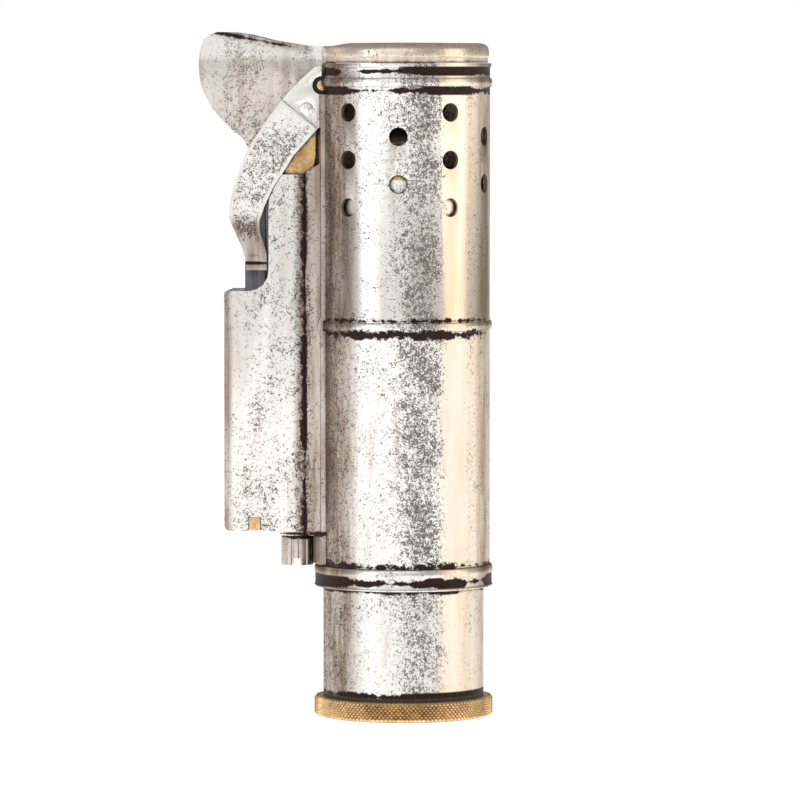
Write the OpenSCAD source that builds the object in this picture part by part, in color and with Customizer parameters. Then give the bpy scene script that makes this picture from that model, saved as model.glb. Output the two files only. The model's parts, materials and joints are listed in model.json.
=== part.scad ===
// Flint spark lighter: pocket wick lighter with a thumb lever, in millimetres.
// Origin: centre of the filler cap's bottom face. +Z runs up the tube, the lever side is -X.

/* [View] */
// which sub-part to draw

/* [Tube] */
// outer sleeve radius
sleeve_r = 8.65; // [8:0.05:10]
// outer sleeve wall
sleeve_wall = 0.45; // [0.3:0.05:0.8]
// bottom of the outer sleeve
sleeve_z0 = 13.1; // [10:0.1:16]
// top rim of the outer sleeve
rim_z = 65.3; // [60:0.1:70]
// height of the middle bead
mid_bead_z = 39.2; // [30:0.1:50]
// height of the top bead
top_bead_z = 63.4; // [60:0.1:64]
// how far a bead stands out
bead_out = 0.22; // [0.1:0.02:0.4]
// radius of a vent hole
vent_r = 0.93; // [0.6:0.01:1.2]
// half width of the window that faces the lever
window_half = 3.9; // [3.5:0.1:4.5]
// bottom of that window
window_z = 55; // [52:0.5:58]

/* [Tank] */
// inner tank radius
tank_r = 8.05; // [7.5:0.05:8.1]
// inner tank wall
tank_wall = 0.4; // [0.3:0.05:0.8]
// top of the tank
tank_top = 53.9; // [50:0.1:54]
// wick tube outer radius
wick_tube_r = 2.4; // [2:0.1:3.5]
// top of the wick tube
wick_tube_z = 57.5; // [55:0.5:60]

/* [Filler cap] */
// cap radius over the knurl
cap_r = 9; // [8.5:0.05:9.5]
// height of the knurled edge
cap_h = 2.35; // [2:0.05:4]
// radius of the cap's threaded neck
neck_r = 7.6; // [6.5:0.05:7.64]

/* [Lid and thumb wing] */
// lid radius
lid_r = 8.55; // [8:0.05:9]
// bottom of the lid
lid_z0 = 65.35; // [65:0.05:66]
// top of the lid
lid_z1 = 67.3; // [67.2:0.05:69]
// wing half width
wing_half = 3.05; // [2.5:0.05:3.2]
// thickness of the wing's side plates
wing_plate = 0.5; // [0.4:0.05:0.8]
// hinge pin: distance from the tube axis
hinge_x = -7.9; // [-8.2:0.05:-7.6]
// hinge pin: height
hinge_z = 63.1; // [62:0.1:64]
// hinge pin radius
hinge_r = 0.5; // [0.4:0.05:0.7]

/* [Striker] */
// flint wheel centre: distance from the tube axis
wheel_x = -10.9; // [-11.5:0.05:-10.5]
// flint wheel centre: height
wheel_z = 57.85; // [57:0.05:59]
// flint wheel radius
wheel_r = 2.95; // [2.5:0.05:3.2]
// flint wheel half width
wheel_half = 1.2; // [1:0.1:1.5]
// wheel axle radius
axle_r = 0.5; // [0.4:0.05:0.7]
// ratchet tooth tip radius
ratchet_r = 2.15; // [1.8:0.05:2.4]
// flint tube centre
flint_x = -10.7; // [-11:0.05:-10.4]
// flint tube outer radius
flint_tube_r = 1.75; // [1.6:0.05:1.8]
// flint radius
flint_r = 1.2; // [1:0.1:1.5]

/* [Housing] */
// outer half width of the housing
house_half = 4.2; // [4:0.05:4.5]
// housing wall
house_wall = 0.45; // [0.3:0.05:0.7]
// left side of the housing
house_x0 = -17.65; // [-18:0.05:-17]
// right side of the housing cover
house_x1 = -9.6; // [-10:0.05:-9]
// bottom of the housing
house_z0 = 18.7; // [18:0.1:20]
// floor of the notch
notch_z = 42.65; // [40:0.05:44]
// left side of the narrow upper part
neck_x = -13.2; // [-14:0.05:-13]
// top of the housing
house_z1 = 54.25; // [52:0.05:55]

/* [Hidden] */
$fn = 64;
bore_gap = 0.05;
sleeve_in = sleeve_r - sleeve_wall;
cradle_in = 2.05;   // wheel cradle, inner face
cradle_out = 2.45;  // wheel cradle, outer face
plate_in = 3.15;    // bearing plates, inner face
plate_out = 3.65;   // bearing plates, outer face
cheek_in = 3.7;     // arm cheeks, inner face
cheek_out = 4.3;    // arm cheeks, outer face
ear_out = 4.1;      // the arm's thinner ear, outer face
frame_in = 3.75;    // side frame plates, inner face
frame_out = 4.15;   // side frame plates, outer face
frame_foot_z = 18.25;
finger_in = 1.3;    // pawl fingers, inner face
finger_out = 1.95;  // pawl fingers and ratchet discs, outer face
lid_in = 7.6;       // radius of the lid's inner space
lid_crown = 0.06;
pad_z1 = 66.7;
foot_groove_z = 45.35;
groove = 0.2;
stop_z1 = 54.7;
collar_z1 = 15.2;
saddle_r = 9.08;
rod_x0 = -15.7;
rod_x1 = -13.7;
rod_half = 2.4;
rod_foot_z = 38;
rod_shoulder_z = 54;
rod_nose_z = 56.55;
nose_x = -14.85;
seat_z0 = 18.75;
seat_z1 = 20.1;
spring_wire = 0.3;
spring_r = 1.35;
spring_x = -15.25;
rivet_x = -9.4;
rivet_z = 60.75;
rivet_r = 0.6;
flint_top = wheel_z - wheel_r - 0.03;
flint_len = 5;
screw_thread_top = 22;
neck_z1 = 7.5;
packing_z0 = 14;
silver = [0.78, 0.76, 0.73];
brass = [0.80, 0.62, 0.34];
steel = [0.30, 0.31, 0.35];
cotton = [0.92, 0.90, 0.85];

// ---------- helpers ----------
// a tube between two heights
module tube(r_out, r_in, z0, z1) {
    translate([0, 0, z0]) difference() {
        cylinder(r = r_out, h = z1 - z0);
        translate([0, 0, -1]) cylinder(r = r_in, h = z1 - z0 + 2);
    }
}

// an outline in X and Z, made solid from y0 to y1
module plate(y0, y1) {
    translate([0, y1, 0]) rotate([90, 0, 0]) linear_extrude(height = y1 - y0) children();
}

// the same plate on both sides of the middle plane
module plates(y0, y1) {
    plate(y0, y1) children();
    plate(-y1, -y0) children();
}

// a disc outline at a point
module spot(x, z, r) {
    translate([x, z]) circle(r = r);
}

// a stack of rings standing for a coil spring
module coil(x, z0, z1, turns, r, wire) {
    pitch = (z1 - z0 - 2 * wire) / (turns - 1);
    for (i = [0 : turns - 1])
        translate([x, 0, z0 + wire + i * pitch])
            rotate_extrude() translate([r, 0]) circle(r = wire, $fn = 16);
    for (s = [-1, 1])
        translate([x + s * r, 0, z0 + wire]) cylinder(r = wire * 0.6, h = z1 - z0 - 2 * wire);
}

// ---------- outlines ----------
// side view of the thumb wing with the hinge knuckle
module wing_outline() {
    polygon([[-5.6, 67.25], [-7.0, 67.0], [-9.4, 67.0], [-10.6, 67.2], [-11.8, 67.4], [-13.0, 67.6],
             [-14.2, 67.9], [-15.4, 68.2], [-16.9, 68.4], [-18.4, 68.4], [-19.1, 68.15],
             [-19.65, 67.75], [-20.0, 67.1], [-20.2, 66.2], [-20.25, 65.2], [-20.2, 64.2],
             [-20.05, 63.3], [-19.65, 62.15], [-18.95, 60.9], [-18.05, 59.82], [-16.9, 58.65],
             [-15.85, 57.8], [-15.3, 56.85], [-14.0, 57.85], [-12.4, 59.2], [-11.3, 60.5],
             [-10.1, 61.4], [-8.6, 61.9], [-7.2, 62.0], [-6.85, 63.1], [-6.85, 64.2],
             [-5.6, 66.0]]);
}

// the wing's inner space, open below
module wing_hollow() {
    polygon([[-5.6, 66.4], [-9.4, 66.1], [-11.8, 66.55], [-14.2, 67.05], [-16.6, 67.55],
             [-18.3, 67.5], [-19.2, 66.6], [-19.4, 65.2], [-19.3, 63.6], [-19.1, 62.95],
             [-20.6, 62.2], [-18, 55], [-5, 55]]);
}

// side view of the arm's cheek
module arm_outline() {
    polygon([[-7.5, 65.05], [-8.2, 65.1], [-8.75, 64.8], [-9.86, 63.81], [-11.25, 62.38],
             [-12.58, 60.75], [-13.69, 59.23], [-14.51, 57.91], [-15.34, 56.49], [-15.94, 55.16],
             [-16.4, 53.96], [-16.82, 52.51], [-17.15, 50.95], [-17.14, 49.85], [-16.54, 48.55],
             [-15.85, 47.0], [-15.55, 45.96], [-15.4, 44.74], [-13.4, 44.74], [-13.4, 46.41],
             [-13.62, 47.23], [-14.05, 48.56], [-14.1, 49.59], [-13.6, 51.14], [-12.6, 53.2],
             [-11.35, 55.05], [-10.7, 56.15], [-8.1, 59.0], [-7.9, 59.7], [-7.5, 59.95]]);
}

// side view of the housing cover
module house_outline() {
    polygon([[house_x0 + 0.5, house_z0], [-12.3, house_z0], [-11.9, frame_foot_z], [house_x1, frame_foot_z],
             [house_x1, house_z1], [-11.9, house_z1], [-12.55, 53.2], [-13.1, 51.9], [neck_x, 51],
             [neck_x, 44.6], [-13.34, 43.95], [-13.75, 43.3], [-14.35, 42.85], [-15.1, notch_z],
             [house_x0 + 0.2, notch_z], [house_x0, notch_z - 0.2], [house_x0, house_z0 + 0.5],
             [house_x0 + 0.15, house_z0 + 0.15]]);
}

// the housing cover's inner space
module house_hollow() {
    polygon([[house_x0 + house_wall, house_z0 + house_wall], [-12.1, house_z0 + house_wall],
             [-12.1, 18.7], [house_x1 + 1, 18.7], [house_x1 + 1, house_z1 + 1], [-12.6, house_z1 + 1],
             [neck_x + house_wall, 51.2], [neck_x + house_wall, 44.4], [-12.95, 43.6],
             [-13.55, 42.75], [-14.2, 42.35], [-15.1, notch_z - house_wall],
             [house_x0 + house_wall, notch_z - house_wall]]);
}

// ---------- tube ----------
// one bead that runs round the sleeve
module bead(z, out, half) {
    translate([0, 0, z]) rotate_extrude()
        polygon([[sleeve_r - 0.1, -half], [sleeve_r + out * 0.6, -half * 0.8],
                 [sleeve_r + out, -half * 0.3], [sleeve_r + out, half * 0.3],
                 [sleeve_r + out * 0.6, half * 0.8], [sleeve_r - 0.1, half]]);
}

// a vent hole through one side, at an angle from the lever side
module vent(angle, z) {
    rotate([0, 0, 180 + angle]) translate([6, 0, z]) rotate([0, 90, 0]) cylinder(r = vent_r, h = 4);
}

// columns of vent holes every 36 degrees, three and two by turns
module vents() {
    for (i = [1 : 8]) {
        angle = 18 + 36 * i;
        if (i % 2 == 1) for (z = [51.05, 55.75, 60.45]) vent(angle, z);
        else for (z = [53.35, 58.05]) vent(angle, z);
    }
}

module outer_sleeve() {
    color(silver) difference() {
        union() {
            cylinder_between(sleeve_r, sleeve_z0, rim_z);
            bead(mid_bead_z, bead_out, 0.5);
            bead(top_bead_z, bead_out, 0.5);
            translate([0, 0, rim_z - 0.4]) cylinder(r = sleeve_r + 0.12, h = 0.4);
        }
        cylinder_between(sleeve_in, sleeve_z0 - 1, rim_z + 1);
        translate([-11, -window_half, window_z]) cube([8, 2 * window_half, 12]);
        vents();
    }
}

module cylinder_between(r, z0, z1) {
    translate([0, 0, z0]) cylinder(r = r, h = z1 - z0);
}

module collar_ring() {
    color(silver) rotate_extrude()
        polygon([[sleeve_r + 0.01, 13.05], [8.9, 13.05], [8.97, 13.2], [8.86, 13.3], [8.86, 14.45],
                 [8.97, 14.6], [8.94, 14.95], [8.84, collar_z1], [sleeve_r + 0.01, collar_z1]]);
}

module stop_ring() {
    color(brass) tube(sleeve_in, 7.3, tank_top, stop_z1);
}

// ---------- side frame ----------
module side_frame() {
    color(silver) difference() {
        union() {
            saddle();
            plates(frame_in, frame_out) polygon([[house_x1 + 0.04, frame_foot_z],
                                        [-7.6, frame_foot_z], [-7.6, 55.6],
                                        [-8.5, 55.1], [house_x1 + 0.04, 54.5]]);
        }
        cylinder_between(sleeve_r + 0.01, 0, 80);
        // room for the sleeve's middle bead and for the flint tube
        cylinder_between(sleeve_r + bead_out + 0.01, mid_bead_z - 0.52, mid_bead_z + 0.52);
        translate([flint_x, 0, 10]) cylinder(r = flint_tube_r + 0.02, h = 50);
        translate([-11, -cheek_in, window_z]) cube([8, 2 * cheek_in, 12]);
    }
}

// the curved strip that lies on the sleeve, bulging over the middle bead
module saddle() {
    intersection() {
        union() {
            cylinder_between(saddle_r, collar_z1 + 0.15, 62.2);
            translate([0, 0, mid_bead_z]) rotate_extrude()
                polygon([[8, -1], [saddle_r, -0.9], [saddle_r + 0.25, -0.4],
                         [saddle_r + 0.25, 0.4], [saddle_r, 0.9], [8, 1]]);
        }
        translate([-11, -4.35, 0]) cube([8, 8.7, 80]);
    }
}

module bearing_plates() {
    color(brass) plates(plate_in, plate_out) difference() {
        union() {
            spot(hinge_x, hinge_z, 1.35);
            polygon([[-9.0, 64.0], [-11.3, 61.6], [-13.0, 59.3], [-13.4, 57.2], [-12.6, 55.0],
                     [-12.55, 46], [-9.4, 46], [-9.4, 54.4], [-8.75, 54.95], [-8.55, 56.2],
                     [-8.5, 61], [-7.2, 61.8], [-7.2, 63]]);
        }
        spot(hinge_x, hinge_z, hinge_r);
        spot(rivet_x, rivet_z, rivet_r);
    }
}

// inner fork that carries the flint wheel's axle
module wheel_cradle() {
    color(brass) {
        plates(cradle_in, cradle_out) difference() {
            union() {
                spot(wheel_x, wheel_z, 1.3);
                polygon([[-12.2, wheel_z], [-12.2, 46], [-9.6, 46], [-9.6, wheel_z]]);
            }
            spot(wheel_x, wheel_z, axle_r + bore_gap);
        }
        // feet that stand against the bearing plates
        plates(cradle_in, plate_in) polygon([[-12.2, 46], [-9.6, 46], [-9.6, 52.3], [-12.2, 52.3]]);
    }
}

module housing_cover() {
    color(silver) difference() {
        plate(-house_half, house_half) house_outline();
        plate(-house_half + house_wall, house_half - house_wall) house_hollow();
        // way for the push rod through the notch floor
        translate([rod_x0 - 0.1, -rod_half - 0.1, 30]) cube([2.2, 2 * rod_half + 0.2, 13.5]);
        // bottom notch that shows the spring seat's tab
        translate([-15.25, -house_half - 1, house_z0 - 1]) cube([1.25, 2 * house_half + 2, 2.4]);
        // way for the flint screw
        translate([flint_x, 0, 10]) cylinder(r = flint_tube_r + bore_gap, h = 12);
    }
}

module spring_seat() {
    color(brass) {
        translate([-17.15, -3.7, 19.2]) cube([4.2, 7.4, seat_z1 - 19.2]);
        translate([-15.2, -house_half, seat_z0]) cube([1.15, 2 * house_half, seat_z1 - seat_z0]);
        translate([spring_x, 0, seat_z1]) cylinder(r = 0.85, h = 3);
    }
}

module return_spring() {
    color(steel) coil(spring_x, seat_z1, rod_foot_z, 17, spring_r, spring_wire);
}

// ---------- striker drive ----------
module push_rod() {
    color(steel) {
        translate([rod_x0, -rod_half, rod_foot_z + 1.5]) cube([rod_x1 - rod_x0, 2 * rod_half,
                  50.5 - rod_foot_z]);
        translate([spring_x - 1.75, -3, rod_foot_z]) cube([3.5, 6, 1.6]);
        plate(-3.05, 3.05) union() {
            spot(nose_x, rod_nose_z - 0.4, 0.4);
            polygon([[nose_x - 0.4, rod_nose_z - 0.4], [nose_x - 0.5, rod_shoulder_z - 2.5],
                     [nose_x + 0.9, rod_shoulder_z - 2.5], [nose_x + 0.4, rod_nose_z - 0.4]]);
        }
        plates(finger_in, finger_out) polygon([[-14.4, 51], [-13.7, 51], [-13.6, 58.6], [-13.15, 59.1],
                                 [-13.15, 59.3], [-14.1, 59.3], [-14.4, 58.5]]);
    }
}

module curved_arm() {
    color(silver) difference() {
        union() {
            plates(cheek_in, ear_out) arm_outline();
            // the arm stands proud of its ear below a slanting step
            plates(cheek_in, cheek_out) intersection() {
                arm_outline();
                polygon([[-13, 62.55], [-7, 57.7], [-7, 40], [-20, 40], [-20, 62.55]]);
            }
            // lower web that joins the cheeks round the rod
            plate(-cheek_in - 0.1, cheek_in + 0.1) polygon([[-16.3, 53.4], [-16.72, 52.1],
                [-17.05, 50.9], [-17.04, 49.9], [-16.45, 48.6], [-16.0, 47.4], [-15.85, 48.6],
                [-16.3, 50.1], [-16.3, 51.6], [-15.95, 53.2]]);
        }
        // groove across the arm's foot
        for (s = [-1, 1]) translate([-17, s * cheek_out - groove / 2, foot_groove_z])
            cube([5, groove, groove]);
        // sight hole over the hinge pin
        plate(-5, 5) spot(hinge_x, hinge_z, 0.93);
        plate(-5, 5) spot(rivet_x, rivet_z, rivet_r);
        // the cheeks end against the side frame and the sleeve's bead
        cylinder_between(saddle_r + 0.01, 40, 62.25);
        cylinder_between(sleeve_r + bead_out + 0.03, 62, 70);
    }
}

module arm_rivets() {
    color(silver) for (s = [-1, 1]) translate([rivet_x, s * plate_in, rivet_z]) {
        rotate([-90 * s, 0, 0]) cylinder(r = rivet_r, h = ear_out - plate_in + 0.02);
        translate([0, s * (ear_out - plate_in), 0]) rotate([-90 * s, 0, 0])
            cylinder(r1 = rivet_r + 0.1, r2 = rivet_r - 0.15, h = 0.12);
    }
}

module hinge_pin() {
    color(brass) translate([hinge_x, -plate_out, hinge_z]) rotate([-90, 0, 0])
        cylinder(r = hinge_r, h = 2 * plate_out);
}

module lid_lever() {
    color(silver) difference() {
        union() {
            difference() {
                rotate_extrude() polygon([[0, lid_z0], [lid_r - 0.12, lid_z0],
                    [lid_r - 0.12, lid_z0 + 0.45], [lid_r, lid_z0 + 0.65], [lid_r, lid_z1 - 0.7],
                    [lid_r - 0.15, lid_z1 - 0.35], [lid_r - 0.45, lid_z1 - 0.1],
                    [lid_r - 0.9, lid_z1], [0, lid_z1 + lid_crown]]);
                cylinder_between(lid_in, lid_z0 - 1, pad_z1);
                // slope that runs down into the wing's top
                plate(-lid_r - 1, lid_r + 1) polygon([[-lid_r - 1, 66.9], [-7, 66.98], [-5.6, 67.2],
                    [-4.6, lid_z1 + lid_crown], [-4.6, lid_z1 + 1], [-lid_r - 1, lid_z1 + 1]]);
            }
            difference() {
                plate(-wing_half, wing_half) wing_outline();
                plate(-wing_half + wing_plate, wing_half - wing_plate) wing_hollow();
            }
        }
        plate(-5, 5) spot(hinge_x, hinge_z, hinge_r + bore_gap);
        cylinder_between(lid_in, wick_tube_z, pad_z1 - 0.4);
    }
}

module snuffer_pad() {
    color(cotton) cylinder_between(3.2, lid_z0 - 0.75, pad_z1);
}

module flint_wheel() {
    teeth = 36;
    color(steel) translate([wheel_x, wheel_half, wheel_z]) rotate([90, 0, 0]) difference() {
        cylinder(r = wheel_r, h = 2 * wheel_half);
        translate([0, 0, -1]) cylinder(r = axle_r, h = 5);
        for (i = [0 : teeth - 1]) rotate([0, 0, i * 360 / teeth])
            translate([wheel_r + 0.04, 0, -1]) cylinder(r = 0.16, h = 5, $fn = 4);
    }
}

module ratchet_discs() {
    teeth = 10;
    color(steel) plates(wheel_half, finger_out) difference() {
        translate([wheel_x, wheel_z]) polygon([for (i = [0 : teeth - 1], k = [0, 1])
            let (a = (i + 0.85 * k) * 360 / teeth, r = k == 0 ? ratchet_r - 0.45 : ratchet_r)
            [r * cos(a), r * sin(a)]]);
        spot(wheel_x, wheel_z, axle_r);
    }
}

module wheel_axle() {
    color(brass) translate([wheel_x, -cradle_out, wheel_z]) rotate([-90, 0, 0])
        cylinder(r = axle_r, h = 2 * cradle_out);
}

module flint_tube() {
    color(brass) translate([flint_x, 0, 0]) tube(flint_tube_r, flint_r + 0.07, 18.2, 54.3);
}

module flint() {
    color([0.35, 0.33, 0.32]) translate([flint_x, 0, flint_top - flint_len]) difference() {
        cylinder(r = flint_r, h = flint_len + 0.3);
        // worn hollow that follows the wheel
        translate([wheel_x - flint_x, 5, wheel_z - flint_top + flint_len]) rotate([90, 0, 0])
            cylinder(r = wheel_r + 0.04, h = 10);
    }
}

module flint_spring() {
    color(steel) coil(flint_x, screw_thread_top, flint_top - flint_len, 22, 0.95, 0.2);
}

module flint_screw() {
    flutes = 14;
    color(silver) translate([flint_x, 0, 0]) difference() {
        union() {
            cylinder_between(1.6, 15.05, 18.1);
            cylinder_between(flint_r + 0.05, 18, screw_thread_top);
        }
        for (i = [0 : flutes - 1]) rotate([0, 0, i * 360 / flutes])
            translate([1.68, 0, 14]) cylinder(r = 0.2, h = 3.7, $fn = 12);
        translate([-0.45, -3, 14]) cube([0.9, 6, 1.75]);
    }
}

// ---------- tank ----------
module tank_tube() {
    color(silver) tube(tank_r, tank_r - tank_wall, cap_h, tank_top - 0.5);
}

module tank_top_plate() {
    color(silver) tube(tank_r, wick_tube_r, tank_top - 0.5, tank_top);
}

module wick_tube() {
    color(brass) tube(wick_tube_r, wick_tube_r - 0.4, tank_top - 6, wick_tube_z);
}

module wick() {
    color(cotton) cylinder_between(wick_tube_r - 0.4, packing_z0, wick_tube_z + 3);
}

module cotton_packing() {
    color(cotton) tube(tank_r - tank_wall, wick_tube_r - 0.4, packing_z0, tank_top - 6.2);
}

module cap_washer() {
    color([0.25, 0.22, 0.2]) tube(tank_r, neck_r + 0.05, cap_h - 0.35, cap_h);
}

module filler_cap() {
    knurls = 60;
    edge_top = cap_h - 0.35;
    color(brass) difference() {
        union() {
            rotate_extrude() polygon([[0, 0], [cap_r - 0.4, 0], [cap_r - 0.12, 0.12], [cap_r, 0.4],
                [cap_r, edge_top - 0.4], [cap_r - 0.12, edge_top - 0.12], [cap_r - 0.4, edge_top],
                [0, edge_top]]);
            cylinder_between(neck_r, edge_top - 0.15, neck_z1);
        }
        cylinder_between(neck_r - 0.8, 1.2, neck_z1 + 1);
        for (i = [0 : knurls - 1]) rotate([0, 0, i * 360 / knurls])
            translate([cap_r + 0.08, 0, 0.45]) cylinder(r = 0.24, h = 1.1, $fn = 4);
    }
}

outer_sleeve();
collar_ring();
stop_ring();
side_frame();
bearing_plates();
wheel_cradle();
housing_cover();
spring_seat();
return_spring();
push_rod();
curved_arm();
arm_rivets();
hinge_pin();
lid_lever();
snuffer_pad();
flint_wheel();
ratchet_discs();
wheel_axle();
flint_tube();
flint();
flint_spring();
flint_screw();
tank_tube();
tank_top_plate();
wick_tube();
wick();
cotton_packing();
filler_cap();
cap_washer();
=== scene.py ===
"""Flint spark lighter: finishes, rounded edges, coils, knurl, studio and camera."""

import json
import math

import bmesh
import bpy
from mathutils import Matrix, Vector


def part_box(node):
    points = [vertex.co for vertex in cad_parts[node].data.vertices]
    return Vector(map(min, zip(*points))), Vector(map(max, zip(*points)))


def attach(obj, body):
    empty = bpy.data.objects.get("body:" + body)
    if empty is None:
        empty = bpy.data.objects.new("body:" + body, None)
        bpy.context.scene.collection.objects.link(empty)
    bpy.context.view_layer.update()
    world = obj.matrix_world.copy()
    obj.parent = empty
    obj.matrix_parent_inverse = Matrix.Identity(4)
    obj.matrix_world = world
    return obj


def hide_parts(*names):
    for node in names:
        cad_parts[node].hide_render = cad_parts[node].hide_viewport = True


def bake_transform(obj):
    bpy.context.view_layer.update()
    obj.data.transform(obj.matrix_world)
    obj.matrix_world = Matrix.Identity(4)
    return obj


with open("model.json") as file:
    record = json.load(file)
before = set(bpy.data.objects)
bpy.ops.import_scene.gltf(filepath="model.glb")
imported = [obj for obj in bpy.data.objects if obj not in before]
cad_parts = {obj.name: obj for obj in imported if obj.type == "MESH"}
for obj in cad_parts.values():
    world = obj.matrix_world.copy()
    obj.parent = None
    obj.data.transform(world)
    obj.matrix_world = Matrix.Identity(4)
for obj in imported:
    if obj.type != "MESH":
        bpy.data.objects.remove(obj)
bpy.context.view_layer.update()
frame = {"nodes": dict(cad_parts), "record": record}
nodes = frame["nodes"]

MM = 0.001
scene = bpy.context.scene


# ---------- node helpers ----------
class Finish:
    """A material under construction, with short ways to add and join its nodes."""

    def __init__(self, name):
        self.material = bpy.data.materials.new(name)
        self.material.use_nodes = True
        self.tree = self.material.node_tree
        self.shader = self.tree.nodes["Principled BSDF"]
        self.coords = self.tree.nodes.new("ShaderNodeTexCoord").outputs["Object"]

    def put(self, socket, value):
        if isinstance(value, bpy.types.NodeSocket):
            self.tree.links.new(value, socket)
        else:
            socket.default_value = value

    def noise(self, scale, detail=3.0, rough=0.55, stretch=None):
        source = self.coords
        if stretch:
            mapping = self.tree.nodes.new("ShaderNodeMapping")
            mapping.inputs["Scale"].default_value = stretch
            self.put(mapping.inputs["Vector"], self.coords)
            source = mapping.outputs["Vector"]
        node = self.tree.nodes.new("ShaderNodeTexNoise")
        self.put(node.inputs["Vector"], source)
        node.inputs["Scale"].default_value = scale
        node.inputs["Detail"].default_value = detail
        node.inputs["Roughness"].default_value = rough
        return node.outputs["Fac"]

    def ramp(self, value, low, high, out_low=0.0, out_high=1.0):
        node = self.tree.nodes.new("ShaderNodeMapRange")
        node.interpolation_type = "SMOOTHSTEP"
        for name, item in (("Value", value), ("From Min", low), ("From Max", high),
                           ("To Min", out_low), ("To Max", out_high)):
            self.put(node.inputs[name], item)
        return node.outputs["Result"]

    def math(self, operation, first, second=0.0):
        node = self.tree.nodes.new("ShaderNodeMath")
        node.operation = operation
        self.put(node.inputs[0], first)
        self.put(node.inputs[1], second)
        return node.outputs[0]

    def mix(self, amount, first, second):
        node = self.tree.nodes.new("ShaderNodeMix")
        node.data_type = "RGBA"
        self.put(node.inputs[0], amount)
        self.put(node.inputs[6], first)
        self.put(node.inputs[7], second)
        return node.outputs[2]

    def along(self, way):
        """How far a point lies along a direction, in metres."""
        node = self.tree.nodes.new("ShaderNodeVectorMath")
        node.operation = "DOT_PRODUCT"
        self.put(node.inputs[0], self.coords)
        node.inputs[1].default_value = way
        return node.outputs["Value"]

    def off_line(self, x, z):
        """Distance in mm from the line that runs front to back through X, Z."""
        squares = [self.math("POWER", self.math("SUBTRACT", self.along(way), place * MM), 2.0)
                   for way, place in ((X_WAY, x), (Z_WAY, z))]
        return self.math("DIVIDE", self.math("SQRT", self.math("ADD", *squares)), MM)

    def gated(self, mask, gate):
        """The mask, kept to where the gate is open, or as it is where there is no gate."""
        for way, start, full in gate:
            mask = self.math("MULTIPLY", mask, self.ramp(self.along(way), start * MM, full * MM))
        return mask

    def attribute(self, name):
        node = self.tree.nodes.new("ShaderNodeAttribute")
        node.attribute_name = name
        return node.outputs["Fac"]

    def corner_patina_and_shade(self, ragged, reach=0.55):
        """Dark patina and painted shade where surfaces meet within reach mm, with a ragged edge: 1 in
        the corner, 0 in the open; the shade stands in for the contact shadows between parts.
        """
        node = self.tree.nodes.new("ShaderNodeAmbientOcclusion")
        node.samples = 6
        node.inputs["Distance"].default_value = reach * MM
        uneven = self.math("MULTIPLY", self.math("SUBTRACT", ragged, 0.5), 0.9)
        return self.ramp(self.math("ADD", node.outputs["AO"], uneven), 0.46, 0.80, 1.0, 0.0)

    def bump(self, height, distance, strength=0.5):
        node = self.tree.nodes.new("ShaderNodeBump")
        node.inputs["Strength"].default_value = strength
        node.inputs["Distance"].default_value = distance
        self.put(node.inputs["Height"], height)
        self.put(self.shader.inputs["Normal"], node.outputs["Normal"])

    def shade(self, **inputs):
        for name, value in inputs.items():
            self.put(self.shader.inputs[name.replace("_", " ")], value)
        return self.material


def rgb(r, g, b):
    return (r, g, b, 1.0)


X_WAY, Z_WAY = (1.0, 0.0, 0.0), (0.0, 0.0, 1.0)

SILVER_BRIGHT = rgb(0.90, 0.88, 0.85)
SILVER_WORN = rgb(0.64, 0.57, 0.49)
# tan worn into some pieces, and also used as painted shade and reflection across the tube and at its
# edges
TAN_WEAR_AND_SHADE = rgb(0.25, 0.165, 0.105)
CREAM = rgb(0.86, 0.70, 0.52)
BROWN = rgb(0.22, 0.13, 0.085)
SPECK_DARK = rgb(0.014, 0.010, 0.009)
SPECK_BROWN = rgb(0.10, 0.068, 0.05)
# near-black patina for the seams and hollows, also used for the painted shade in corners and in the
# hinge hole
PATINA_AND_SHADE = rgb(0.010, 0.005, 0.004)
RUST_AND_SHADE_BROWN = rgb(0.040, 0.013, 0.009)


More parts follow.
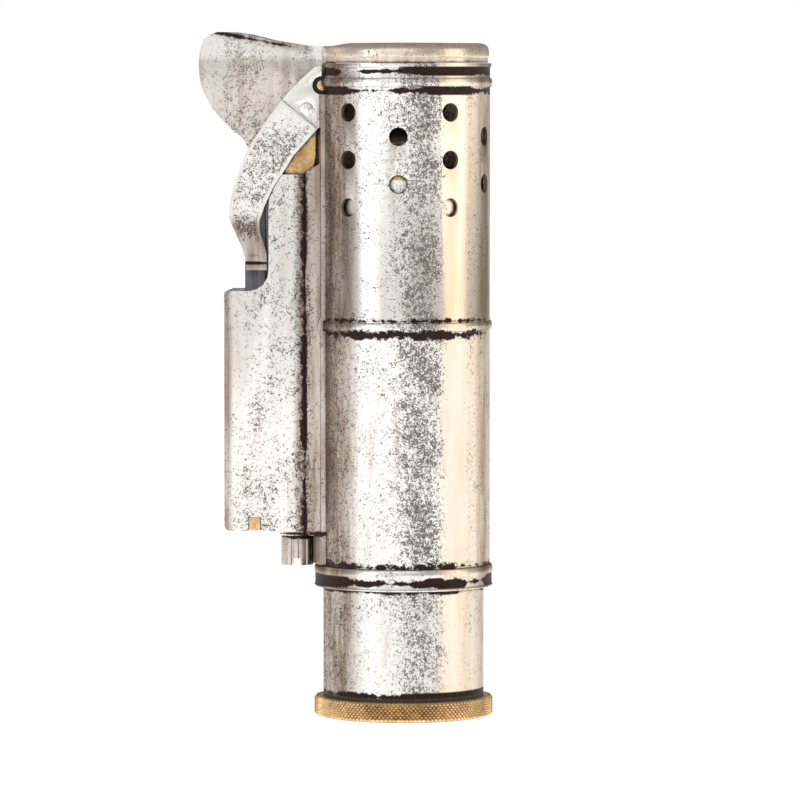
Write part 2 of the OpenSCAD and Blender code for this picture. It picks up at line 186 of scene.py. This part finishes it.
# ---------- finishes ----------
def antique_silver(name, seams=(), tints=(), crowds=(), speck=1.0, streak=0.5, bordered=False):
    """Worn silver plate: fine dark specks, upright streaks, near-black patina along seams, and patina
    with painted shade in the corners.

    Places and widths are in mm along a direction.
    A seam is (direction, place, half width, ragged reach), and a tint is (direction, where it
    starts, where it is full, colour, strength). Either may end with a gate, which is (direction,
    where it starts, where it is full) and keeps it to one part of the piece.
    A crowd of specks is (direction, place, half width, how dense).
    """
    f = Finish(name)
    patches = f.noise(330, 4, 0.6)
    fine = f.noise(6800, 2, 0.6)
    coarse = f.noise(2500, 3, 0.6)
    streaks = f.noise(900, 3, 0.6, (1.0, 1.0, 0.12))
    ragged = f.noise(1100, 5, 0.75)
    breaks = f.noise(190, 2, 0.5)

    edge = f.ramp(patches, 0.32, 0.68, 0.565, 0.490)
    for way, place, half, dense in crowds:
        away = f.math("ABSOLUTE", f.math("SUBTRACT", f.along(way), place * MM))
        edge = f.math("SUBTRACT", edge, f.ramp(away, half * MM, 0.0, 0.0, dense * 0.1))
    grain = f.math("ADD", f.math("MULTIPLY", fine, 0.6), f.math("MULTIPLY", coarse, 0.4))
    specks = f.ramp(grain, edge, f.math("ADD", edge, 0.14))

    base = f.mix(f.ramp(streaks, 0.5, 0.72, 0.0, streak), SILVER_BRIGHT, SILVER_WORN)
    for way, start, full, colour, strength, *gate in tints:
        reach = f.gated(f.ramp(f.along(way), start * MM, full * MM), gate)
        base = f.mix(f.math("MULTIPLY", reach, f.ramp(streaks, 0.36, 0.62, strength * 0.62, strength)),
                     base, colour)
    amount = 0.85 * speck
    # near a bordered piece's outline the specks thin out, so the rolled border stays bright: a painted
    # highlight
    if bordered:
        amount = f.ramp(f.attribute("inside"), 0.5, 1.0, 0.1 * amount, amount)
    speck_tone = f.mix(f.ramp(f.noise(4200, 2, 0.6), 0.42, 0.58), SPECK_DARK, SPECK_BROWN)
    base = f.mix(f.math("MULTIPLY", specks, amount), base, speck_tone)

    # dark: patina in the corners with their painted shade and contact shadows, then below the patina
    # along the seams
    dark = f.corner_patina_and_shade(ragged)
    for way, place, half, reach, *gate in seams:
        away = f.math("ABSOLUTE", f.math("SUBTRACT", f.along(way), place * MM))
        limit = f.math("ADD", half * MM, f.math("MULTIPLY", f.math("SUBTRACT", ragged, 0.47),
                                                reach * MM * 7))
        limit = f.math("ADD", limit, f.math("MULTIPLY", f.math("SUBTRACT", breaks, 0.44),
                                            half * MM * 9))
        limit = f.math("MINIMUM", limit, (half + 1.2 * reach) * MM)
        mask = f.ramp(f.math("SUBTRACT", limit, away), -0.05 * MM, 0.09 * MM)
        dark = f.math("MAXIMUM", dark, f.gated(mask, gate))
    base = f.mix(dark, base, f.mix(f.ramp(fine, 0.42, 0.6), PATINA_AND_SHADE, RUST_AND_SHADE_BROWN))
    spoiled_and_shaded = f.math("MAXIMUM", dark, f.math("MULTIPLY", specks, amount))
    rough = f.ramp(dark, 0, 1, f.ramp(specks, 0, 1, 0.30, 0.6), 0.5)
    f.bump(f.math("SUBTRACT", 1.0, specks), 0.015 * MM, 0.4)
    f.shader.inputs["Specular IOR Level"].default_value = 0.25
    return f.shade(Base_Color=base, Roughness=rough, Metallic=f.ramp(spoiled_and_shaded, 0, 1, 0.86, 0.3))


def warm_brass(name, dull_and_shade=0.3, tone=(0.84, 0.60, 0.29), corner=0.55, hole_patina_and_shade=None):
    """Satin brass with small dull patches, and patina with painted shade that reaches corner mm out of
    the corners.

    The last argument is (x, z, radius) in mm of a dark spot that runs front to back: patina, and the
    painted shade inside the hinge hole seen over it.
    """
    f = Finish(name)
    patches = f.noise(700, 4, 0.65)
    fine = f.noise(3200, 2, 0.6)
    ragged = f.noise(1100, 5, 0.75)
    base = f.mix(f.ramp(patches, 0.42, 0.66, 0, dull_and_shade), rgb(*tone), rgb(0.33, 0.18, 0.075))
    base = f.mix(f.ramp(fine, 0.52, 0.66, 0, 0.4), base, rgb(0.22, 0.11, 0.05))
    # patina with painted shade in the corners, then the dark spot that paints the shade inside a hole
    dark = f.corner_patina_and_shade(ragged, corner)
    if hole_patina_and_shade:
        x, z, radius = hole_patina_and_shade
        dark = f.math("MAXIMUM", dark, f.ramp(f.off_line(x, z), radius, radius * 0.9))
    base = f.mix(dark, base, PATINA_AND_SHADE)
    f.bump(fine, 0.01 * MM, 0.3)
    rough = f.ramp(patches, 0.3, 0.7, 0.26, 0.45)
    return f.shade(Base_Color=base, Roughness=rough, Metallic=f.ramp(dark, 0, 1, 0.9, 0.3))


def slate_steel(name, tone=0.10):
    """Hardened dark steel with a faint draw grain."""
    f = Finish(name)
    grain = f.noise(1500, 3, 0.6, (1.0, 1.0, 0.15))
    base = f.mix(f.ramp(grain, 0.35, 0.7), rgb(tone, tone, tone * 1.18),
                 rgb(tone * 2, tone * 2, tone * 2.2))
    f.bump(grain, 0.008 * MM, 0.3)
    return f.shade(Base_Color=base, Roughness=f.ramp(grain, 0.3, 0.7, 0.3, 0.46), Metallic=0.85)


def soft_fibre(name, tone, burnt_from=None):
    """Cotton or felt: matte, with fine fibres running up it, and charred above burnt_from mm."""
    f = Finish(name)
    fibres = f.noise(2600, 4, 0.7, (1.0, 1.0, 0.18))
    base = f.mix(f.ramp(fibres, 0.35, 0.7), tone, rgb(tone[0] * 0.72, tone[1] * 0.7, tone[2] * 0.64))
    if burnt_from is not None:
        burnt = f.ramp(f.along(Z_WAY), (burnt_from - 0.6) * MM, (burnt_from + 0.8) * MM)
        base = f.mix(burnt, base, rgb(0.022, 0.017, 0.014))
    f.bump(fibres, 0.06 * MM, 0.7)
    f.shader.inputs["Sheen Weight"].default_value = 0.3
    return f.shade(Base_Color=base, Roughness=0.92, Metallic=0.0)


def dull_solid(name, tone, rough):
    """Rubber or flint alloy: plain dark with a fine grain."""
    f = Finish(name)
    grain = f.noise(2200, 3, 0.6)
    base = f.mix(f.ramp(grain, 0.35, 0.7), tone, rgb(tone[0] * 1.7, tone[1] * 1.7, tone[2] * 1.7))
    f.bump(grain, 0.02 * MM, 0.4)
    return f.shade(Base_Color=base, Roughness=rough, Metallic=0.0)


# heights in mm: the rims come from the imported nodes, the beads' middles repeat the part's source
rim_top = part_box("outer_sleeve")[1].z / MM
collar_foot, collar_lip = (corner.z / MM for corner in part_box("collar_ring"))
MID_BEAD = 39.2
TOP_BEAD = 63.4

# where the lid turns, and where the housing meets the side frame, as in the part's source
HINGE_X, HINGE_Z = -7.9, 63.1
HOUSING_SEAM = -9.6
HOUSING_FOOT = 18.4
# the wing's top falls towards the lid by this slope, and meets this height at the tube's axis
WING_WAY, WING_TOP = (0.19, 0.0, 1.0), 65.21
WING_ONLY = (X_WAY, -8.6, -9.6)

SLEEVE_SEAMS = [(Z_WAY, rim_top - 0.78, 0.34, 0.12), (Z_WAY, TOP_BEAD - 0.80, 0.22, 0.20),
                (Z_WAY, MID_BEAD - 0.74, 0.16, 0.34), (Z_WAY, MID_BEAD + 0.64, 0.07, 0.22),
                (Z_WAY, collar_lip + 0.22, 0.20, 0.34)]
# painted reflection and shade across the tube: tan on the lever side, cream on the far side, brown at
# its very edge
TUBE_TINTS = [(X_WAY, -3.6, -5.8, TAN_WEAR_AND_SHADE, 0.92), (X_WAY, 3.6, 5.0, CREAM, 0.8),
              (X_WAY, 7.2, 8.2, TAN_WEAR_AND_SHADE, 0.85), (X_WAY, -6.9, -7.9, BROWN, 0.75)]
# the specks crowd thicker across the band that reflects the dark room and thin out over the cream:
# painted reflection laid onto the real specks
TUBE_CROWDS = [(X_WAY, 2.3, 4.4, 1.15), (X_WAY, -7.6, 4.0, 0.9), (X_WAY, 5.4, 1.7, -1.5)]

finishes = {
    "outer_sleeve": antique_silver("sleeve_silver", SLEEVE_SEAMS, TUBE_TINTS, TUBE_CROWDS),
    "collar_ring": antique_silver("collar_silver", [(Z_WAY, collar_foot + 0.80, 0.40, 0.16)],
                                  TUBE_TINTS),
    "side_frame": antique_silver("frame_silver", [(X_WAY, HOUSING_SEAM, 0.10, 0.15),
                                                  (Z_WAY, HOUSING_FOOT, 0.08, 0.2)],
                                 [(X_WAY, -12.0, -9.0, TAN_WEAR_AND_SHADE, 0.8)],
                                 [(X_WAY, -9.4, 0.9, 0.8)], streak=0.9),
    "housing_cover": antique_silver("housing_silver", [(X_WAY, HOUSING_SEAM - 0.02, 0.12, 0.30),
                                                       (Z_WAY, HOUSING_FOOT + 0.05, 0.05, 0.10)],
                                    [(X_WAY, -11.0, -9.8, BROWN, 0.8),
                                     (X_WAY, -16.7, -17.3, TAN_WEAR_AND_SHADE, 0.85)],
                                    [(X_WAY, -9.8, 1.5, 1.1), (X_WAY, -13.6, 3.4, 0.35)]),
    # below the elbow the arm turns down: the brown tint there is painted shade
    "curved_arm": antique_silver("arm_silver", [(Z_WAY, 45.45, 0.08, 0.10)],
                                 [(Z_WAY, 50.6, 48.9, BROWN, 0.75)],
                                 [(Z_WAY, 48.8, 2.0, 1.3), (Z_WAY, 55.0, 6.5, 0.9)], bordered=True),
    # the brown band under the wing's top edge is painted shade and reflection on its crown
    "lid_lever": antique_silver("lid_silver", [(WING_WAY, WING_TOP - 0.36, 0.07, 0.14, WING_ONLY)],
                                [(WING_WAY, WING_TOP - 1.1, WING_TOP - 0.2, BROWN, 0.75, WING_ONLY),
                                 (X_WAY, -8.8, -6.5, CREAM, 0.7), (Z_WAY, 66.2, 65.3, TAN_WEAR_AND_SHADE, 0.5)],
                                [(X_WAY, -15.5, 4.5, 0.55)], speck=0.8),
    # the tank takes the tube's painted reflection tints and crowds its specks in the same bands
    "tank_tube": antique_silver("tank_silver", [(Z_WAY, 2.5, 0.22, 0.16), (Z_WAY, 13.1, 0.25, 0.2)],
                                TUBE_TINTS, [(X_WAY, 2.3, 4.4, 0.75), (X_WAY, -7.6, 4.0, 0.7),
                                             (X_WAY, 5.4, 1.7, -0.9)]),
    "flint_screw": antique_silver("screw_silver", [(Z_WAY, 18.1, 0.2, 0.2)],
                                  [(X_WAY, -14.0, -12.0, TAN_WEAR_AND_SHADE, 0.6)], speck=0.6),
    # the plates sit back behind the arm: their darker tone and denser dull patches are painted shade,
    # and the dark spot round the hinge paints the shade inside the hole
    "bearing_plates": warm_brass("plate_brass", 0.6, (0.74, 0.50, 0.24),
                                 hole_patina_and_shade=(HINGE_X, HINGE_Z, 1.2)),
}
plain_silver = antique_silver("plain_silver")
brass = warm_brass("warm_brass")
cap_brass = warm_brass("cap_brass", 0.35, (0.92, 0.66, 0.36), corner=0.12)
steel = slate_steel("slate_steel")
wire_steel = slate_steel("wire_steel", 0.22)
cotton = soft_fibre("cotton_fibre", rgb(0.86, 0.83, 0.75))
wick_cotton = soft_fibre("wick_cotton", rgb(0.86, 0.83, 0.75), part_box("wick_tube")[1].z / MM)
felt = soft_fibre("felt_pad", rgb(0.62, 0.57, 0.48))
rubber = dull_solid("seal_rubber", rgb(0.03, 0.022, 0.02), 0.6)
flint_alloy = dull_solid("flint_alloy", rgb(0.09, 0.085, 0.08), 0.5)
for name in ("arm_rivets", "tank_top_plate"):
    finishes[name] = plain_silver
for name in ("stop_ring", "wheel_cradle", "spring_seat", "hinge_pin",
             "wheel_axle", "flint_tube", "wick_tube"):
    finishes[name] = brass
for name in ("push_rod", "flint_wheel", "ratchet_discs"):
    finishes[name] = steel
finishes.update(filler_cap=cap_brass, return_spring=wire_steel, flint_spring=wire_steel,
                wick=wick_cotton, cotton_packing=cotton, snuffer_pad=felt, cap_washer=rubber,
                flint=flint_alloy)


def give(piece, material):
    piece.data.materials.clear()
    piece.data.materials.append(material)


for name, piece in nodes.items():
    give(piece, finishes[name])


# ---------- pieces with rounded edges ----------
# mm: a face this large is a broad side, and one this close to the outermost counts as outermost
BROAD_AREA = 3.0
OUTER_SLACK = 0.05
# how wide each piece's edges are rounded, in mm
EDGE_ROUNDING = {"outer_sleeve": 0.07, "collar_ring": 0.06, "side_frame": 0.1, "housing_cover": 0.22,
                 "lid_lever": 0.3, "push_rod": 0.08, "bearing_plates": 0.06, "flint_screw": 0.04,
                 "spring_seat": 0.06, "arm_rivets": 0.05}


def body_holding(node):
    for body, members in frame["record"]["behaviour"]["bodies"].items():
        if node in members:
            return body
    return None


def mark_inside(work, margin):
    """Adds a loop margin mm inside each broad side, and marks what lies within it.

    What lies behind the broad sides is marked a little less.
    """
    mark = work.verts.layers.float.new("inside")
    outermost = max(abs(vertex.co.y) for vertex in work.verts)
    broad = [face for face in work.faces
             if abs(face.normal.y) > 0.99 and face.calc_area() > BROAD_AREA * MM * MM
             and abs(face.calc_center_median().y) > outermost - OUTER_SLACK * MM]
    bmesh.ops.inset_region(work, faces=broad, thickness=margin * MM, use_even_offset=True,
                           use_boundary=True)
    for face in broad:
        for vertex in face.verts:
            vertex[mark] = 1.0
    for vertex in work.verts:
        if abs(vertex.co.y) < outermost - OUTER_SLACK * MM:
            vertex[mark] = 0.8


def rounded(node, width, segments=3, sharp=28, border=None):
    """The same piece with its hard edges rounded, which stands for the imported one."""
    mesh = nodes[node].data.copy()
    work = bmesh.new()
    work.from_mesh(mesh)
    bmesh.ops.remove_doubles(work, verts=work.verts, dist=0.0005 * MM)
    bmesh.ops.dissolve_limit(work, angle_limit=math.radians(0.6), verts=work.verts,
                             edges=work.edges)
    bmesh.ops.recalc_face_normals(work, faces=work.faces)
    if border:
        mark_inside(work, border)
    work.to_mesh(mesh)
    work.free()
    piece = bpy.data.objects.new(node + "_rounded", mesh)
    scene.collection.objects.link(piece)
    bevel = piece.modifiers.new("round", "BEVEL")
    bevel.width = width * MM
    bevel.segments = segments
    bevel.limit_method = "ANGLE"
    bevel.angle_limit = math.radians(sharp)
    bevel.use_clamp_overlap = True
    bpy.context.view_layer.update()
    done = bpy.data.meshes.new_from_object(
        piece.evaluated_get(bpy.context.evaluated_depsgraph_get()))
    piece.modifiers.clear()
    piece.data = done
    done.shade_smooth()
    done.set_sharp_from_angle(angle=math.radians(32))
    give(piece, finishes[node])
    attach(piece, body_holding(node))
    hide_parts(node)
    return piece


for name, width in EDGE_ROUNDING.items():
    rounded(name, width)
# the arm's specks thin out along a border this wide, a painted highlight on its rolled edge
rounded("curved_arm", 0.16, border=0.42)

for name, piece in nodes.items():
    piece.data.shade_smooth()
    piece.data.set_sharp_from_angle(angle=math.radians(30))


# ---------- repeated detail by geometry nodes ----------
def new_tree(name, sizes):
    """A geometry tree with named number inputs; returns the tree, its input node and output node."""
    tree = bpy.data.node_groups.new(name, "GeometryNodeTree")
    tree.interface.new_socket("Geometry", in_out="OUTPUT", socket_type="NodeSocketGeometry")
    for label, value in sizes.items():
        kind = "NodeSocketInt" if isinstance(value, int) else "NodeSocketFloat"
        tree.interface.new_socket(label, in_out="INPUT", socket_type=kind).default_value = value
    return tree, tree.nodes.new("NodeGroupInput"), tree.nodes.new("NodeGroupOutput")


def grow(name, tree, sizes, material):
    """Runs a tree on an empty mesh and keeps the result as a plain mesh."""
    piece = bpy.data.objects.new(name, bpy.data.meshes.new(name))
    scene.collection.objects.link(piece)
    modifier = piece.modifiers.new(name, "NODES")
    modifier.node_group = tree
    for item in tree.interface.items_tree:
        if item.item_type == "SOCKET" and item.in_out == "INPUT" and item.name in sizes:
            modifier[item.identifier] = sizes[item.name]
    bpy.context.view_layer.update()
    mesh = bpy.data.meshes.new_from_object(
        piece.evaluated_get(bpy.context.evaluated_depsgraph_get()))
    piece.modifiers.clear()
    piece.data = mesh
    mesh.shade_smooth()
    mesh.set_sharp_from_angle(angle=math.radians(35))
    give(piece, material)
    return piece


def finish_tree(tree, geometry, outputs, material):
    realize = tree.nodes.new("GeometryNodeRealizeInstances")
    paint = tree.nodes.new("GeometryNodeSetMaterial")
    paint.inputs["Material"].default_value = material
    tree.links.new(geometry, realize.inputs[0])
    tree.links.new(realize.outputs[0], paint.inputs["Geometry"])
    tree.links.new(paint.outputs[0], outputs.inputs[0])


def wire_coil(node, wire, turns):
    """A helix of round wire in the box of a packed spring."""
    low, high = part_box(node)
    radius = (high.x - low.x) / 2 - wire * MM
    sizes = {"Coil radius": radius, "Wire radius": wire * MM,
             "Height": high.z - low.z - 2 * wire * MM, "Turns": float(turns)}
    tree, inputs, outputs = new_tree(node + "_tree", sizes)
    spiral = tree.nodes.new("GeometryNodeCurveSpiral")
    spiral.inputs["Resolution"].default_value = 28
    profile = tree.nodes.new("GeometryNodeCurvePrimitiveCircle")
    profile.inputs["Resolution"].default_value = 10
    sweep = tree.nodes.new("GeometryNodeCurveToMesh")
    sweep.inputs["Fill Caps"].default_value = True
    link = tree.links.new
    link(inputs.outputs["Coil radius"], spiral.inputs["Start Radius"])
    link(inputs.outputs["Coil radius"], spiral.inputs["End Radius"])
    link(inputs.outputs["Height"], spiral.inputs["Height"])
    link(inputs.outputs["Turns"], spiral.inputs["Rotations"])
    link(inputs.outputs["Wire radius"], profile.inputs["Radius"])
    link(spiral.outputs[0], sweep.inputs["Curve"])
    link(profile.outputs[0], sweep.inputs["Profile Curve"])
    finish_tree(tree, sweep.outputs[0], outputs, finishes[node])
    piece = grow(node + "_coil", tree, sizes, finishes[node])
    centre = (low + high) / 2
    for vertex in piece.data.vertices:
        vertex.co += Vector((centre.x, centre.y, low.z + wire * MM))
    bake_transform(piece)
    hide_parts(node)


wire_coil("return_spring", 0.27, 13)
wire_coil("flint_spring", 0.18, 24)


# ---------- filler cap with a diamond knurl ----------
def lathe(name, profile, steps, material):
    """A closed outline of (radius, height) in mm, turned about the tube's axis."""
    mesh = bpy.data.meshes.new(name)
    verts, faces = [], []
    count = len(profile)
    for i in range(steps):
        a = 2 * math.pi * i / steps
        verts += [(r * MM * math.cos(a), r * MM * math.sin(a), z * MM) for r, z in profile]
    for i in range(steps):
        j = (i + 1) % steps
        for k in range(count):
            m = (k + 1) % count
            faces.append((i * count + k, j * count + k, j * count + m, i * count + m))
    mesh.from_pydata(verts, [], faces)
    work = bmesh.new()
    work.from_mesh(mesh)
    bmesh.ops.remove_doubles(work, verts=work.verts, dist=0.001 * MM)
    bmesh.ops.recalc_face_normals(work, faces=work.faces)
    work.to_mesh(mesh)
    work.free()
    mesh.shade_smooth()
    mesh.set_sharp_from_angle(angle=math.radians(32))
    piece = bpy.data.objects.new(name, mesh)
    scene.collection.objects.link(piece)
    give(piece, material)
    return piece


# mm: the cap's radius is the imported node's, the rest repeats the part's source
cap_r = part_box("filler_cap")[1].x / MM
CAP_EDGE = 2.0
NECK_R, NECK_TOP, NECK_WALL = 7.6, 7.5, 0.8
CAP_FLOOR = 1.2
# the cap's rounded lower edge as (in from the cap's radius, height); the upper one mirrors it
CAP_LIP = [(0.75, 0.0), (0.42, 0.06), (0.3, 0.22), (0.26, 0.5)]
cap_side = [(cap_r - inset, z) for inset, z in CAP_LIP]
cap_side += [(r, CAP_EDGE - z) for r, z in reversed(cap_side)]
cap_neck = [(NECK_R, CAP_EDGE), (NECK_R, NECK_TOP), (NECK_R - NECK_WALL, NECK_TOP),
            (NECK_R - NECK_WALL, CAP_FLOOR), (0.0, CAP_FLOOR)]
cap_body = lathe("filler_cap_body", [(0.0, 0.0)] + cap_side + cap_neck, 128, cap_brass)
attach(cap_body, "cap")
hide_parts("filler_cap")

# mm that the knurl's points start inside the cap's radius
KNURL_INSET = 0.29


def diamond_knurl():
    """Rows of small four-sided points round the cap's edge."""
    sizes = {"Radius": (cap_r - KNURL_INSET) * MM, "Point size": 0.30 * MM,
             "Point height": 0.27 * MM, "Count": 128}
    rows, first, step = 7, 0.32, 0.235
    tree, inputs, outputs = new_tree("knurl_tree", sizes)
    link = tree.links.new
    join = tree.nodes.new("GeometryNodeJoinGeometry")
    cone = tree.nodes.new("GeometryNodeMeshCone")
    cone.inputs["Vertices"].default_value = 4
    link(inputs.outputs["Point size"], cone.inputs["Radius Bottom"])
    link(inputs.outputs["Point height"], cone.inputs["Depth"])
    position = tree.nodes.new("GeometryNodeInputPosition")
    align = tree.nodes.new("FunctionNodeAlignRotationToVector")
    align.axis = "Z"
    link(position.outputs[0], align.inputs["Vector"])
    for row in range(rows):
        ring = tree.nodes.new("GeometryNodeMeshCircle")
        link(inputs.outputs["Radius"], ring.inputs["Radius"])
        link(inputs.outputs["Count"], ring.inputs["Vertices"])
        place = tree.nodes.new("GeometryNodeInstanceOnPoints")
        link(ring.outputs[0], place.inputs["Points"])
        link(cone.outputs["Mesh"], place.inputs["Instance"])
        link(align.outputs[0], place.inputs["Rotation"])
        shift = tree.nodes.new("GeometryNodeTransform")
        shift.inputs["Translation"].default_value = (0, 0, (first + row * step) * MM)
        shift.inputs["Rotation"].default_value = (0, 0, (row % 2) * math.pi / sizes["Count"])
        link(place.outputs[0], shift.inputs["Geometry"])
        link(shift.outputs[0], join.inputs[0])
    finish_tree(tree, join.outputs[0], outputs, cap_brass)
    piece = grow("cap_knurl", tree, sizes, cap_brass)
    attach(piece, "cap")


diamond_knurl()


# ---------- studio ----------
def floor():
    half = 3.0
    mesh = bpy.data.meshes.new("studio_floor")
    mesh.from_pydata([(-half, -half, 0), (half, -half, 0), (half, half, 0), (-half, half, 0)], [],
                     [(0, 1, 2, 3)])
    piece = bpy.data.objects.new("studio_floor", mesh)
    scene.collection.objects.link(piece)
    f = Finish("pale_floor")
    f.shader.inputs["Emission Strength"].default_value = 0.8
    give(piece, f.shade(Base_Color=rgb(0.90, 0.90, 0.90), Roughness=0.9,
                        Emission_Color=rgb(1, 1, 1)))


def softbox(name, place, target, size, watts, tint=(1.0, 1.0, 1.0)):
    lamp = bpy.data.lights.new(name, "AREA")
    lamp.shape = "RECTANGLE"
    lamp.size, lamp.size_y = size
    lamp.energy = watts
    lamp.color = tint
    holder = bpy.data.objects.new(name, lamp)
    scene.collection.objects.link(holder)
    holder.location = place
    aim = Vector(target) - Vector(place)
    holder.rotation_euler = aim.to_track_quat("-Z", "Y").to_euler()


def studio():
    floor()
    middle = (0.0, 0.0, 0.035)
    softbox("key_left", (-0.32, -0.36, 0.12), middle, (0.16, 0.36), 0.36)
    softbox("front_high", (-0.02, -0.50, 0.34), middle, (0.50, 0.30), 0.42)
    softbox("front_even", (-0.08, -0.64, 0.08), middle, (0.26, 0.26), 0.11)
    softbox("warm_right", (0.42, -0.10, 0.10), middle, (0.24, 0.42), 0.42, (1.0, 0.86, 0.70))
    softbox("tan_left", (-0.40, 0.08, 0.10), middle, (0.16, 0.40), 0.14, (1.0, 0.82, 0.66))
    world = bpy.data.worlds.new("white_room")
    scene.world = world
    world.use_nodes = True
    tree = world.node_tree
    ground = tree.nodes["Background"]
    seen = tree.nodes.new("ShaderNodeBackground")
    seen.inputs["Color"].default_value = rgb(1, 1, 1)
    ground.inputs["Color"].default_value = rgb(0.80, 0.76, 0.72)
    ground.inputs["Strength"].default_value = 0.36
    path = tree.nodes.new("ShaderNodeLightPath")
    blend = tree.nodes.new("ShaderNodeMixShader")
    tree.links.new(path.outputs["Is Camera Ray"], blend.inputs[0])
    tree.links.new(ground.outputs[0], blend.inputs[1])
    tree.links.new(seen.outputs[0], blend.inputs[2])
    tree.links.new(blend.outputs[0], tree.nodes["World Output"].inputs["Surface"])
    scene.view_settings.view_transform = "Standard"


def camera():
    """Long lens at lid height, turned a little past square to the lever."""
    distance, turn = 0.587, math.radians(3.4)
    data = bpy.data.cameras.new("camera")
    data.sensor_width = 36
    data.lens = 264
    holder = bpy.data.objects.new("camera", data)
    scene.collection.objects.link(holder)
    holder.location = (distance * math.sin(turn), -distance * math.cos(turn), 0.0651)
    aim = Vector((-0.00035, 0, 0.0316)) - holder.location
    holder.rotation_euler = aim.to_track_quat("-Z", "Y").to_euler()
    scene.camera = holder


studio()
camera()
